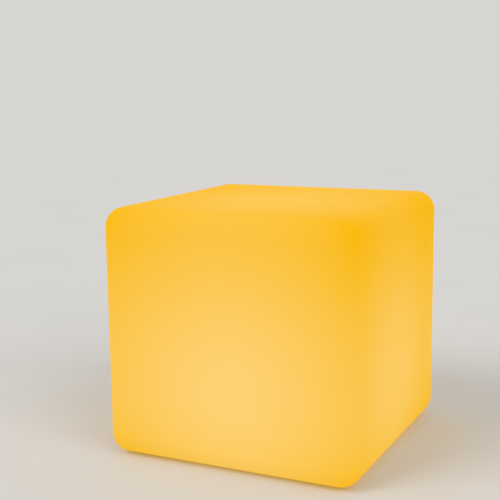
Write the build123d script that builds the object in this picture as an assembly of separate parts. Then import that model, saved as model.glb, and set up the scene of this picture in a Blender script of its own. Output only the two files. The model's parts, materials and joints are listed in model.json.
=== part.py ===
from build123d import *
import os
from math import cos, pi, radians, sin

# A cube-shaped LED night light. A translucent moulded body with rounded edges glows all over, lit by
# a round light module that is screwed into a well in its underside. The module holds two cells, a
# control board, a ring of LEDs under a frosted dome, a push button and a covered charging jack.
# Millimetres, +Z up, origin on the table under the middle of the body.

# Moulded body
body_width = 200.0
body_depth = 200.0
body_height = 188.0
edge_radius = 15.0
shell_wall = 3.0

# Feet in shallow pockets near the corners of the underside
foot_diameter = 14.0
foot_thickness = 2.0
foot_sunk = 1.0
foot_inset = 32.0
foot_round = 0.6

# Well in the underside, with the seat that the module's flange is drawn against
seat_width = 12.0
well_lip_round = 1.2
recess_spare = 0.2
insert_radius = 2.4
insert_length = 6.0
insert_groove = 0.3
insert_groove_width = 1.2
insert_boss_wall = 2.1
insert_boss_cap = 3.0

# Module flange, its gasket and its screws
flange_thickness = 3.5
flange_gap = 0.5
flange_round = 0.8
gasket_thickness = 1.5
gasket_margin = 1.0
mouth_gap = 0.75
flange_screw_count = 4
flange_screw_angle = 45.0
flange_screw_radius = 1.5
flange_screw_length = 9.0
flange_head_radius = 2.8
flange_head_height = 2.2
flange_head_sunk = 1.5

# Details shared by every screw
screw_clearance = 0.2
thread_clearance = 0.05
head_clearance = 0.4
head_round = 0.7
tip_chamfer = 0.4
drive_slot_width = 0.7
drive_slot_depth = 1.0
drive_slot_margin = 0.9
pilot_spare = 2.0

# Module cup, with bosses for the dome's screws
cup_wall = 2.5
dome_boss_radius = 3.6
dome_boss_bite = 0.6
dome_screw_count = 4
dome_screw_angle = 45.0
dome_screw_radius = 1.5
dome_screw_length = 14.0
dome_head_radius = 2.7
dome_head_height = 2.0

# Two cells side by side, their welded tabs, and the cradle that they lie in
cell_diameter = 18.4
cell_length = 65.0
cell_gap = 0.8
cell_end_round = 0.8
cell_clearance = 0.1
tab_thickness = 0.3
tab_height = 7.0
tab_overlap = 5.0
tab_side_gap = 0.2
cradle_floor = 1.8
cradle_side_wall = 1.6
cradle_end_wall = 2.0
cradle_end_gap = 0.35
cradle_rise = 6.5
cradle_ear_radius = 3.3
cradle_ear_thickness = 1.8
cradle_cup_gap = 1.0
post_radius = 3.0
cradle_screw_radius = 1.2
cradle_screw_length = 6.0
cradle_head_radius = 2.2
cradle_head_height = 1.6
pad_length = 44.0
pad_width = 8.0
pad_thickness = 1.5

# Control board on four standoffs above the module's floor
board_thickness = 1.6
board_lift = 11.0
board_hole_inset = 4.0
board_corner_round = 2.0
standoff_radius = 3.0
board_screw_radius = 1.2
board_screw_length = 6.0
board_head_radius = 2.2
board_head_height = 1.6

# Parts soldered to the top of the control board, in one row from end to end
parts_gap = 3.0
parts_headroom = 0.6
chip_height = 1.6
driver_chip_length = 10.0
driver_chip_width = 4.0
charger_chip_length = 5.0
charger_chip_width = 4.0
leg_pitch = 1.27
leg_end_margin = 1.0
leg_width = 0.42
leg_reach = 1.0
leg_thickness = 0.25
inductor_side = 7.0
inductor_height = 3.4
inductor_flange = 0.8
inductor_core_radius = 2.6
capacitor_radius = 2.5
capacitor_height = 3.2
capacitor_round = 0.4
resistor_length = 2.0
resistor_width = 1.25
resistor_height = 0.6
resistor_pitch = 5.0
resistors_in_row = 3

# Sockets for the leads, along the edges of the control board
socket_height = 3.4
socket_depth = 6.0
socket_side_wall = 1.5
socket_screw_gap = 1.8
battery_socket_width = 6.0

# Leads
lead_radius = 0.7
lead_bend = 3.0
led_lead_bend = 5.0
bend_room = 0.9
lead_rise = 2.1
battery_lead_gap = 1.15
battery_lead_ear_gap = 2.0
led_lead_gap = 5.4
led_lead_pitch = 2.2
led_lead_count = 4

# Push button, its sealing ring and the switch that it works
button_radius = 7.0
button_gap = 0.3
button_travel = 1.2
button_proud = 1.8
button_lip = 1.7
button_lip_thickness = 1.2
button_stem_radius = 2.5
button_edge_round = 0.7
button_dish_depth = 0.5
button_rim = 1.4
seal_ring_radius = 0.75
seal_ring_gap = 0.05
seal_ring_rise = 1.4
symbol_radius = 2.9
symbol_line = 0.6
symbol_depth = 0.3
symbol_gap_angle = 70.0
switch_side = 12.0
switch_roof = 1.0
switch_edge = 0.5
plunger_radius = 3.3
plunger_length = 4.2
plunger_hidden = 1.2
plunger_gap = 0.1

# Charging jack through the module's floor
jack_bore_radius = 2.85
jack_bore_depth = 8.5
jack_barrel_wall = 1.15
jack_rear_wall = 1.5
jack_flange_lip = 1.5
jack_flange_thickness = 1.2
jack_seal_thickness = 0.6
jack_hole_gap = 0.1
jack_pin_radius = 1.05
jack_pin_recess = 1.5
jack_pin_round = 0.5
jack_nut_flats = 12.0
jack_nut_thickness = 2.0
jack_board_gap = 1.2
terminal_length = 4.0
terminal_width = 2.0
terminal_thickness = 0.6
terminal_spacing = 4.6

# Hinged cover over the charging jack
cover_overlap = 0.9
cover_thickness = 1.7
cover_gap = 0.25
cover_edge_round = 0.5
cover_strap_width = 5.0
cover_strap_length = 5.6
cover_tab_width = 5.0
cover_tab_reach = 3.0
cover_stud_wall = 0.6
cover_stud_length = 2.0
hinge_barrel_radius = 1.3
hinge_barrel_gap = 0.2
hinge_pin_radius = 0.6
hinge_running_clearance = 0.05
hinge_side_gap = 0.2
hinge_ear_width = 1.8

# Charge light: a clear rod that carries the glow of a small LED down to the underside
pipe_radius = 1.5
pipe_gap = 0.1
pipe_proud = 0.3
pipe_lip = 1.0
pipe_lip_thickness = 1.0
pipe_led_gap = 0.2
pipe_button_gap = 1.1
charge_led_length = 3.2
charge_led_width = 1.6
charge_led_height = 1.0

# Tray that closes the cup, and the LED board on it
tray_thickness = 2.5
tray_slot_gap = 1.3
led_board_thickness = 1.6
led_board_gap = 1.5
led_count = 12
led_ring_inset = 9.0
led_side = 5.0
led_height = 1.6
led_window_radius = 1.9
led_window_depth = 0.3
led_screw_count = 3
led_screw_angle = 90.0
led_screw_inset = 18.5
led_screw_radius = 1.2
led_screw_length = 3.6
led_head_radius = 2.2
led_head_height = 1.6

# Frosted dome over the LEDs
dome_wall = 2.0
dome_height = 30.0
dome_flange_thickness = 2.5
dome_gasket_thickness = 1.0
dome_gasket_gap = 0.5
dome_head_gap = 0.8

# Levels of the underside, from the table upwards
body_bottom = foot_thickness - foot_sunk
body_middle = body_bottom + body_height / 2
hinge_depth = hinge_barrel_gap + 2 * hinge_barrel_radius
recess_depth = max(hinge_depth, cover_gap + cover_thickness, button_proud) + recess_spare
flange_bottom = body_bottom + recess_depth
flange_top = flange_bottom + flange_thickness
seat_bottom = flange_top + gasket_thickness
seat_top = seat_bottom + shell_wall
flange_head_seat = flange_bottom + flange_head_sunk
flange_screw_tip = flange_head_seat + flange_screw_length
insert_top = seat_bottom + insert_length
insert_boss_top = max(insert_top, flange_screw_tip + pilot_spare) + insert_boss_cap

# Levels inside the module
board_bottom = flange_top + board_lift
board_top = board_bottom + board_thickness
lead_level = board_top + lead_rise
parts_height = max(socket_height, inductor_height, capacitor_height, chip_height, board_head_height)
cradle_bottom = board_top + parts_height + parts_headroom
cradle_top = cradle_bottom + cradle_floor + cradle_rise
cradle_ear_top = cradle_bottom + cradle_ear_thickness
cell_level = cradle_bottom + cradle_floor + cell_clearance + cell_diameter / 2
pad_bottom = cell_level + cell_diameter / 2
tray_bottom = pad_bottom + pad_thickness
tray_top = tray_bottom + tray_thickness
led_board_top = tray_top + led_board_thickness
dome_flange_bottom = tray_top + dome_gasket_thickness
dome_flange_top = dome_flange_bottom + dome_flange_thickness

# Radii, from the cells outwards
cell_offset = (cell_diameter + cell_gap) / 2
tab_face = cell_length / 2 + tab_thickness
tab_half_width = cell_offset + tab_overlap
trough_half_length = tab_face + cradle_end_gap
cradle_half_length = trough_half_length + cradle_end_wall
cradle_half_width = cell_offset + cell_diameter / 2 + cradle_side_wall
ear_x = cradle_half_length + cradle_ear_radius
cup_inner_radius = ear_x + cradle_ear_radius + cradle_cup_gap
cup_radius = cup_inner_radius + cup_wall
mouth_radius = cup_radius + mouth_gap
well_radius = mouth_radius + seat_width
flange_radius = well_radius - flange_gap
flange_screw_circle = mouth_radius + seat_width / 2
insert_boss_radius = insert_radius + insert_boss_wall
dome_screw_circle = cup_inner_radius - dome_boss_radius + dome_boss_bite
dome_radius = dome_screw_circle - dome_head_radius - dome_head_gap
led_board_radius = dome_radius - dome_wall - led_board_gap
led_circle = led_board_radius - led_ring_inset
led_screw_circle = led_board_radius - led_screw_inset

# Places on the control board
capacitor_width = 2 * capacitor_radius
row_lengths = [capacitor_width, driver_chip_length, charger_chip_length, inductor_side, capacitor_width]
row_length = sum(row_lengths) + parts_gap * (len(row_lengths) - 1)
row_centres = [
    sum(row_lengths[:k]) + parts_gap * k + row_lengths[k] / 2 - row_length / 2
    for k in range(len(row_lengths))
]
left_capacitor_x, driver_chip_x, charger_chip_x, inductor_x, right_capacitor_x = row_centres
board_length = row_length + 2 * socket_depth
battery_lead_y = cradle_ear_radius + battery_lead_ear_gap + lead_radius
battery_socket_edge = battery_lead_y + battery_socket_width / 2
board_width = 2 * (battery_socket_edge + socket_screw_gap + board_head_radius + board_hole_inset)
led_lead_span = led_lead_pitch * (led_lead_count - 1) + 2 * lead_radius
resistor_y = (driver_chip_width / 2 + leg_reach + board_width / 2 - socket_depth) / 2

# Places on the module's floor
button_face = flange_bottom - button_proud
button_lip_radius = button_radius + button_gap + button_lip
switch_pocket = plunger_hidden + button_travel + plunger_gap
switch_bottom = board_bottom - switch_pocket - switch_roof
plunger_bottom = switch_bottom + plunger_hidden - plunger_length
seal_level = flange_bottom + seal_ring_rise
seal_outer_radius = button_radius + button_gap - seal_ring_gap
pipe_lip_radius = pipe_radius + pipe_lip
pipe_y = -(button_lip_radius + pipe_button_gap + pipe_lip_radius)
charge_led_bottom = board_bottom - charge_led_height
jack_barrel_radius = jack_bore_radius + jack_barrel_wall
jack_flange_radius = jack_barrel_radius + jack_flange_lip
jack_nut_radius = jack_nut_flats / 2 / cos(pi / 6)
jack_y = -(board_width / 2 + jack_board_gap + jack_nut_radius)
jack_seal_bottom = flange_bottom + jack_flange_thickness
jack_seat = jack_seal_bottom + jack_seal_thickness
jack_rear = flange_bottom + jack_bore_depth + jack_rear_wall
terminal_top = jack_rear + terminal_length
cover_radius = jack_flange_radius + cover_overlap
cover_top = flange_bottom - cover_gap
cover_bottom = cover_top - cover_thickness
cover_stud_middle = (jack_bore_radius + jack_pin_radius) / 2
hinge_y = jack_y - cover_radius - cover_strap_length
hinge_level = flange_bottom - hinge_barrel_gap - hinge_barrel_radius
hinge_ear_inside = cover_strap_width / 2 + hinge_side_gap
battery_lead_x = cradle_half_length + battery_lead_gap + lead_radius
led_lead_y = cradle_half_width + led_lead_gap + lead_radius


def on_circle(count, radius, start):
    """Points evenly spaced on a circle, from an angle in degrees."""
    turns = [radians(start + 360.0 * k / count) for k in range(count)]
    return [(radius * cos(turn), radius * sin(turn)) for turn in turns]


def at_corners(half_length, half_width):
    """The four corners of a rectangle about the middle."""
    return [(sx * half_length, sy * half_width) for sx in (-1, 1) for sy in (-1, 1)]


foot_spots = at_corners(body_width / 2 - foot_inset, body_depth / 2 - foot_inset)
flange_screw_spots = on_circle(flange_screw_count, flange_screw_circle, flange_screw_angle)
dome_screw_spots = on_circle(dome_screw_count, dome_screw_circle, dome_screw_angle)
led_screw_spots = on_circle(led_screw_count, led_screw_circle, led_screw_angle)
board_screw_spots = at_corners(board_length / 2 - board_hole_inset, board_width / 2 - board_hole_inset)
cradle_screw_spots = [(-ear_x, 0.0), (ear_x, 0.0)]
capacitor_spots = [(left_capacitor_x, battery_lead_y), (right_capacitor_x, -battery_lead_y)]
cell_rows = [-cell_offset, cell_offset]
led_lead_rows = [(k - (led_lead_count - 1) / 2) * led_lead_pitch for k in range(led_lead_count)]


def rod(radius, low, high, x=0.0, y=0.0):
    """A round bar standing between two levels."""
    return Pos(x, y, (low + high) / 2) * Cylinder(radius, high - low)


def tube(outer, inner, low, high, x=0.0, y=0.0):
    """A round wall standing between two levels."""
    return rod(outer, low, high, x, y) - rod(inner, low, high, x, y)


def block(length, width, low, high, x=0.0, y=0.0):
    """A rectangular bar standing between two levels."""
    return Pos(x, y, (low + high) / 2) * Box(length, width, high - low)


def lower_edges(shape):
    return shape.edges().group_by(Axis.Z)[0]


def upper_edges(shape):
    return shape.edges().group_by(Axis.Z)[-1]


def upright_edges(shape):
    return shape.edges().filter_by(Axis.Z)


def screw(head_radius, head_height, shank_radius, shank_length):
    """A pan-head screw with a cross slot. Its head hangs below z = 0 and its shank stands above."""
    head = rod(head_radius, -head_height, 0)
    head = fillet(lower_edges(head), head_round)
    slot_length = 2 * (head_radius - drive_slot_margin)
    for angle in (0, 90):
        slot = block(slot_length, drive_slot_width, -head_height, drive_slot_depth - head_height)
        head -= Rot(0, 0, angle) * slot
    shank = rod(shank_radius, 0, shank_length)
    return head + chamfer(upper_edges(shank), tip_chamfer)


def driven_up(one, spots, seat):
    """Copies of a screw driven upwards, with their heads under a level."""
    return [Pos(x, y, seat) * one for x, y in spots]


def driven_down(one, spots, seat):
    """Copies of a screw driven downwards, with their heads on a level."""
    return [Pos(x, y, seat) * Rot(180, 0, 0) * one for x, y in spots]


def lead(points, bend):
    """A wire along straight runs joined by bends, which stay within the shortest run."""
    runs = [(Vector(*end) - Vector(*start)).length for start, end in zip(points, points[1:])]
    room = min([runs[0], runs[-1]] + [run / 2 for run in runs[1:-1]])
    path = FilletPolyline(*points, radius=min(bend, bend_room * room))
    section = Plane(origin=path @ 0, z_dir=path % 0) * Circle(lead_radius)
    return sweep(section, path=path)


def save(name, *solids):
    """Writes one node, as one solid or as a group of separate ones."""
    shape = solids[0] if len(solids) == 1 else Compound(children=list(solids))
    export_step(shape, f"parts/{name}.step")


def rounded_body(shrink):
    """The body's outline as a solid, drawn in by a distance on every side."""
    outline = Box(body_width - 2 * shrink, body_depth - 2 * shrink, body_height - 2 * shrink)
    return Pos(0, 0, body_middle) * fillet(outline.edges(), edge_radius - shrink)


def make_shell():
    """Hollow body with the well, the seat, the screw bosses and the foot pockets."""
    shell = rounded_body(0) - rounded_body(shell_wall)
    shell += rod(well_radius + shell_wall, body_bottom, seat_top)
    shell -= rod(well_radius, body_bottom, seat_bottom)
    shell -= rod(mouth_radius, seat_bottom, seat_top)
    well_lip = shell.edges().filter_by(GeomType.CIRCLE).group_by(Axis.Z)[0]
    shell = fillet(well_lip, well_lip_round)
    for x, y in flange_screw_spots:
        shell += rod(insert_boss_radius, seat_bottom, insert_boss_top, x, y)
    screw_hole = flange_screw_radius + screw_clearance
    for x, y in flange_screw_spots:
        shell -= rod(insert_radius, seat_bottom, insert_top, x, y)
        shell -= rod(screw_hole, seat_bottom, flange_screw_tip + pilot_spare, x, y)
    for x, y in foot_spots:
        shell -= rod(foot_diameter / 2, body_bottom, body_bottom + foot_sunk, x, y)
    return shell


def make_feet():
    pad = rod(foot_diameter / 2, 0, foot_thickness)
    pad = fillet(lower_edges(pad), foot_round)
    return [Pos(x, y, 0) * pad for x, y in foot_spots]


def make_inserts():
    """Threaded brass bushes moulded into the seat's bosses, with a groove that keys them in."""
    bush = tube(insert_radius, flange_screw_radius + thread_clearance, seat_bottom, insert_top)
    groove_bottom = (seat_bottom + insert_top - insert_groove_width) / 2
    groove_top = groove_bottom + insert_groove_width
    bush -= tube(insert_radius, insert_radius - insert_groove, groove_bottom, groove_top)
    return [Pos(x, y, 0) * bush for x, y in flange_screw_spots]


def make_flange_gasket():
    """Flat ring between the module's flange and the seat."""
    ring = tube(well_radius - gasket_margin, mouth_radius + gasket_margin, flange_top, seat_bottom)
    for x, y in flange_screw_spots:
        ring -= rod(flange_screw_radius + screw_clearance, flange_top, seat_bottom, x, y)
    return ring


def make_flange_screws():
    one = screw(flange_head_radius, flange_head_height, flange_screw_radius, flange_screw_length)
    return driven_up(one, flange_screw_spots, flange_head_seat)


def hinge_eye(x, radius, length):
    """A bar along the cover's hinge axis."""
    return Pos(x, hinge_y, hinge_level) * Rot(0, 90, 0) * Cylinder(radius, length)


def hinge_ears():
    """Two lugs under the floor that hold the cover's hinge pin."""
    ears = []
    for side in (-1, 1):
        x = side * (hinge_ear_inside + hinge_ear_width / 2)
        lug = block(hinge_ear_width, 2 * hinge_barrel_radius, hinge_level, flange_bottom, x, hinge_y)
        lug += hinge_eye(x, hinge_barrel_radius, hinge_ear_width)
        ears.append(lug - hinge_eye(x, hinge_pin_radius, hinge_ear_width))
    return ears


def make_base_housing():
    """Flange and cup in one moulding, with its bosses, posts, hinge lugs and holes."""
    flange = rod(flange_radius, flange_bottom, flange_top)
    flange = fillet(lower_edges(flange), flange_round)
    housing = flange + tube(cup_radius, cup_inner_radius, flange_bottom, tray_bottom)
    cup_outline = rod(cup_radius, flange_bottom, tray_bottom)
    for x, y in dome_screw_spots:
        housing += rod(dome_boss_radius, flange_bottom, tray_bottom, x, y) & cup_outline
    for x, y in board_screw_spots:
        housing += rod(standoff_radius, flange_bottom, board_bottom, x, y)
    for x, y in cradle_screw_spots:
        housing += rod(post_radius, flange_bottom, cradle_bottom, x, y)
    for lug in hinge_ears():
        housing += lug
    for x, y in flange_screw_spots:
        housing -= rod(flange_screw_radius + screw_clearance, flange_bottom, flange_top, x, y)
        housing -= rod(flange_head_radius + head_clearance, flange_bottom, flange_head_seat, x, y)
    dome_pilot_end = dome_flange_top - dome_screw_length - pilot_spare
    for x, y in dome_screw_spots:
        housing -= rod(dome_screw_radius + thread_clearance, dome_pilot_end, tray_bottom, x, y)
    board_pilot_end = board_top - board_screw_length - pilot_spare
    for x, y in board_screw_spots:
        housing -= rod(board_screw_radius + thread_clearance, board_pilot_end, board_bottom, x, y)
    cradle_pilot_end = cradle_ear_top - cradle_screw_length - pilot_spare
    for x, y in cradle_screw_spots:
        housing -= rod(cradle_screw_radius + thread_clearance, cradle_pilot_end, cradle_bottom, x, y)
    housing -= rod(button_radius + button_gap, flange_bottom, flange_top)
    housing -= rod(jack_barrel_radius + jack_hole_gap, flange_bottom, flange_top, 0, jack_y)
    housing -= rod(jack_flange_radius + jack_hole_gap, flange_bottom, jack_seat, 0, jack_y)
    return housing - rod(pipe_radius + pipe_gap, flange_bottom, flange_top, 0, pipe_y)


def power_symbol(low, high):
    """An open ring with a bar through its gap."""
    ring = tube(symbol_radius + symbol_line / 2, symbol_radius - symbol_line / 2, low, high)
    gap_width = 2 * symbol_radius * sin(radians(symbol_gap_angle / 2))
    ring -= block(gap_width, 2 * symbol_radius, low, high, 0, symbol_radius)
    return ring + block(symbol_line, symbol_radius, low, high, 0, symbol_radius)


def make_button():
    """Cap with a dished face, the lip that keeps it in the floor, and the stem up to the switch."""
    button = rod(button_radius, button_face, flange_top)
    button = fillet(lower_edges(button), button_edge_round)
    dish = button_face + button_dish_depth
    button -= rod(button_radius - button_rim, button_face, dish)
    button -= power_symbol(dish, dish + symbol_depth)
    button += rod(button_lip_radius, flange_top, flange_top + button_lip_thickness)
    button += rod(button_stem_radius, flange_top, plunger_bottom)
    groove_bottom, groove_top = seal_level - seal_ring_radius, seal_level + seal_ring_radius
    groove_floor = seal_outer_radius - 2 * seal_ring_radius
    return button - tube(button_radius, groove_floor, groove_bottom, groove_top)


def make_button_seal():
    """Rubber ring in the button's groove, which slides in the floor's hole."""
    return Pos(0, 0, seal_level) * Torus(seal_outer_radius - seal_ring_radius, seal_ring_radius)


def make_switch_body():
    body = block(switch_side, switch_side, switch_bottom, board_bottom)
    body = chamfer(lower_edges(body), switch_edge)
    return body - rod(plunger_radius + plunger_gap, switch_bottom, switch_bottom + switch_pocket)


def make_plunger():
    return rod(plunger_radius, plunger_bottom, plunger_bottom + plunger_length)


def make_jack():
    """Threaded barrel with its front flange and socket."""
    jack = rod(jack_flange_radius, flange_bottom, jack_seal_bottom, 0, jack_y)
    jack += rod(jack_barrel_radius, flange_bottom, jack_rear, 0, jack_y)
    jack -= rod(jack_bore_radius, flange_bottom, flange_bottom + jack_bore_depth, 0, jack_y)
    return jack - rod(jack_pin_radius, flange_bottom, jack_rear, 0, jack_y)


def make_jack_pin():
    pin = rod(jack_pin_radius, flange_bottom + jack_pin_recess, jack_rear, 0, jack_y)
    return fillet(lower_edges(pin), jack_pin_round)


def make_jack_seal():
    inner = jack_barrel_radius + jack_hole_gap
    return tube(jack_flange_radius, inner, jack_seal_bottom, jack_seat, 0, jack_y)


def make_jack_nut():
    nut = extrude(Pos(0, jack_y, flange_top) * RegularPolygon(jack_nut_radius, 6), jack_nut_thickness)
    hole = jack_barrel_radius + thread_clearance
    return nut - rod(hole, flange_top, flange_top + jack_nut_thickness, 0, jack_y)


def make_terminals():
    tag = block(terminal_width, terminal_thickness, jack_rear, terminal_top, 0, jack_y)
    return [Pos(side * terminal_spacing / 2, 0, 0) * tag for side in (-1, 1)]


def make_port_cover():
    """Rubber cover: a disc with a hollow stud, a pull tab, a strap and the hinge barrel."""
    cover = rod(cover_radius, cover_bottom, cover_top, 0, jack_y)
    strap_y = (jack_y + hinge_y) / 2
    cover += block(cover_strap_width, jack_y - hinge_y, cover_bottom, cover_top, 0, strap_y)
    tab_length = cover_radius + cover_tab_reach
    cover += block(cover_tab_width, tab_length, cover_bottom, cover_top, 0, jack_y + tab_length / 2)
    cover = fillet(lower_edges(cover), cover_edge_round)
    cover += hinge_eye(0, hinge_barrel_radius, cover_strap_width)
    cover -= hinge_eye(0, hinge_pin_radius + hinge_running_clearance, cover_strap_width)
    stud_outer = cover_stud_middle + cover_stud_wall / 2
    stud_inner = cover_stud_middle - cover_stud_wall / 2
    return cover + tube(stud_outer, stud_inner, cover_top, cover_top + cover_stud_length, 0, jack_y)


def make_hinge_pin():
    return hinge_eye(0, hinge_pin_radius, 2 * (hinge_ear_inside + hinge_ear_width))


def make_light_pipe():
    pipe = rod(pipe_radius, flange_bottom - pipe_proud, charge_led_bottom - pipe_led_gap, 0, pipe_y)
    return pipe + rod(pipe_lip_radius, flange_top, flange_top + pipe_lip_thickness, 0, pipe_y)


def make_charge_led():
    return block(charge_led_length, charge_led_width, charge_led_bottom, board_bottom, 0, pipe_y)


def make_control_board():
    board = block(board_length, board_width, board_bottom, board_top)
    board = fillet(upright_edges(board), board_corner_round)
    for x, y in board_screw_spots:
        board -= rod(board_screw_radius + screw_clearance, board_bottom, board_top, x, y)
    return board


def make_board_screws():
    one = screw(board_head_radius, board_head_height, board_screw_radius, board_screw_length)
    return driven_down(one, board_screw_spots, board_top)


def chip(length, width, x):
    """A flat package with a row of bent legs along each long side."""
    foot_top = board_top + leg_thickness
    shoulder_top = board_top + chip_height / 2
    package = block(length, width, foot_top, board_top + chip_height, x)
    legs = int((length - leg_end_margin) / leg_pitch) + 1
    for k in range(legs):
        leg_x = x + (k - (legs - 1) / 2) * leg_pitch
        for side in (-1, 1):
            foot_y = side * (width + leg_reach) / 2
            shoulder_y = side * (width + leg_thickness) / 2
            package += block(leg_width, leg_reach, board_top, foot_top, leg_x, foot_y)
            package += block(leg_width, leg_thickness, board_top, shoulder_top, leg_x, shoulder_y)
    return package


def make_inductor():
    """Drum core: two square flanges with a round waist between them."""
    top = board_top + inductor_height
    drum = block(inductor_side, inductor_side, board_top, board_top + inductor_flange, inductor_x)
    drum += block(inductor_side, inductor_side, top - inductor_flange, top, inductor_x)
    return drum + rod(inductor_core_radius, board_top, top, inductor_x)


def make_capacitors():
    can = rod(capacitor_radius, board_top, board_top + capacitor_height)
    can = fillet(upper_edges(can), capacitor_round)
    return [Pos(x, y, 0) * can for x, y in capacitor_spots]


def make_resistors():
    """A few small resistors on either side of the row, by the driver and by the inductor."""
    one = block(resistor_length, resistor_width, board_top, board_top + resistor_height)
    resistors = []
    for k in range(resistors_in_row):
        shift = (k - (resistors_in_row - 1) / 2) * resistor_pitch
        resistors.append(Pos(driver_chip_x + shift, -resistor_y, 0) * one)
        resistors.append(Pos(inductor_x + shift, resistor_y, 0) * one)
    return resistors


def make_sockets():
    """Moulded sockets at the board's edges: two for the cells, one for the jack, one for the LEDs."""
    top = board_top + socket_height
    end_x = (board_length - socket_depth) / 2
    edge_y = (board_width - socket_depth) / 2
    jack_socket_width = terminal_spacing + 2 * (lead_radius + socket_side_wall)
    led_socket_width = led_lead_span + 2 * socket_side_wall
    return [
        block(socket_depth, battery_socket_width, board_top, top, end_x, battery_lead_y),
        block(socket_depth, battery_socket_width, board_top, top, -end_x, -battery_lead_y),
        block(jack_socket_width, socket_depth, board_top, top, 0, -edge_y),
        block(led_socket_width, socket_depth, board_top, top, 0, edge_y),
    ]


def make_cells():
    can = Cylinder(cell_diameter / 2, cell_length)
    can = Rot(0, 90, 0) * fillet(can.edges().filter_by(GeomType.CIRCLE), cell_end_round)
    return [Pos(0, y, cell_level) * can for y in cell_rows]


def make_cell_tabs():
    """Nickel strips welded across the two cells at each end."""
    low, high = cell_level - tab_height / 2, cell_level + tab_height / 2
    strip = block(tab_thickness, 2 * tab_half_width, low, high)
    return [Pos(side * (tab_face - tab_thickness / 2), 0, 0) * strip for side in (-1, 1)]


def make_cradle():
    """Tray with two troughs for the cells, end walls and two screw ears."""
    cradle = block(2 * cradle_half_length, 2 * cradle_half_width, cradle_bottom, cradle_top)
    trough = Rot(0, 90, 0) * Cylinder(cell_diameter / 2 + cell_clearance, 2 * trough_half_length)
    for y in cell_rows:
        cradle -= Pos(0, y, cell_level) * trough
    tab_room = trough_half_length - cell_length / 2
    tab_room_width = 2 * (tab_half_width + tab_side_gap)
    for side in (-1, 1):
        x = side * (trough_half_length - tab_room / 2)
        cradle -= block(tab_room, tab_room_width, cradle_bottom + cradle_floor, cradle_top, x)
        neck_x = side * (ear_x - cradle_ear_radius / 2)
        cradle += block(cradle_ear_radius, 2 * cradle_ear_radius, cradle_bottom, cradle_ear_top, neck_x)
    for x, y in cradle_screw_spots:
        cradle += rod(cradle_ear_radius, cradle_bottom, cradle_ear_top, x, y)
        cradle -= rod(cradle_screw_radius + screw_clearance, cradle_bottom, cradle_ear_top, x, y)
    return cradle


def make_cradle_screws():
    one = screw(cradle_head_radius, cradle_head_height, cradle_screw_radius, cradle_screw_length)
    return driven_down(one, cradle_screw_spots, cradle_ear_top)


def make_pads():
    """Foam strips that the tray presses onto the cells."""
    return [block(pad_length, pad_width, pad_bottom, tray_bottom, 0, y) for y in cell_rows]


def battery_lead(side):
    """From a cell tab over the cradle's end wall and down to its socket."""
    x, y = side * battery_lead_x, side * battery_lead_y
    points = [
        (side * tab_face, y, cell_level),
        (x, y, cell_level),
        (x, y, lead_level),
        (side * board_length / 2, y, lead_level),
    ]
    return lead(points, lead_bend)


def make_jack_leads():
    leads = []
    for side in (-1, 1):
        x = side * terminal_spacing / 2
        points = [(x, jack_y, terminal_top), (x, jack_y, lead_level), (x, -board_width / 2, lead_level)]
        leads.append(lead(points, lead_bend))
    return leads


def make_led_leads():
    """From the board's LED socket up through the tray's slot to the LED board."""
    leads = []
    for x in led_lead_rows:
        points = [(x, board_width / 2, lead_level), (x, led_lead_y, lead_level), (x, led_lead_y, tray_top)]
        leads.append(lead(points, led_lead_bend))
    return leads


def make_tray():
    tray = rod(cup_radius, tray_bottom, tray_top)
    for x, y in dome_screw_spots:
        tray -= rod(dome_screw_radius + screw_clearance, tray_bottom, tray_top, x, y)
    for x, y in led_screw_spots:
        tray -= rod(led_screw_radius + thread_clearance, tray_bottom, tray_top, x, y)
    slot_length = led_lead_span + 2 * tray_slot_gap
    slot_width = 2 * (lead_radius + tray_slot_gap)
    return tray - block(slot_length, slot_width, tray_bottom, tray_top, 0, led_lead_y)


def make_led_board():
    board = rod(led_board_radius, tray_top, led_board_top)
    for x, y in led_screw_spots:
        board -= rod(led_screw_radius + screw_clearance, tray_top, led_board_top, x, y)
    return board


def make_led_screws():
    one = screw(led_head_radius, led_head_height, led_screw_radius, led_screw_length)
    return driven_down(one, led_screw_spots, led_board_top)


def make_leds():
    """A ring of LED packages and one in the middle, each with a round window."""
    top = led_board_top + led_height
    package = block(led_side, led_side, led_board_top, top)
    package -= rod(led_window_radius, top - led_window_depth, top)
    step = 360.0 / led_count
    ring = [Rot(0, 0, step * (k + 0.5)) * Pos(led_circle, 0, 0) * package for k in range(led_count)]
    return ring + [package]


def make_dome_gasket():
    ring = tube(cup_radius, dome_radius + dome_gasket_gap, tray_top, dome_flange_bottom)
    for x, y in dome_screw_spots:
        ring -= rod(dome_screw_radius + screw_clearance, tray_top, dome_flange_bottom, x, y)
    return ring


def dome_cap(radius, height):
    """A cap of a sphere standing on the bottom of the dome's flange."""
    sphere_radius = (radius**2 + height**2) / (2 * height)
    ball = Pos(0, 0, dome_flange_bottom + height - sphere_radius) * Sphere(sphere_radius)
    return ball & rod(2 * sphere_radius, dome_flange_bottom, dome_flange_bottom + 2 * sphere_radius)


def make_dome():
    """Frosted cap with a flat flange that the dome screws hold down."""
    dome = rod(cup_radius, dome_flange_bottom, dome_flange_top) + dome_cap(dome_radius, dome_height)
    dome -= dome_cap(dome_radius - dome_wall, dome_height - dome_wall)
    for x, y in dome_screw_spots:
        dome -= rod(dome_screw_radius + screw_clearance, dome_flange_bottom, dome_flange_top, x, y)
    return dome


def make_dome_screws():
    one = screw(dome_head_radius, dome_head_height, dome_screw_radius, dome_screw_length)
    return driven_down(one, dome_screw_spots, dome_flange_top)


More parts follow.
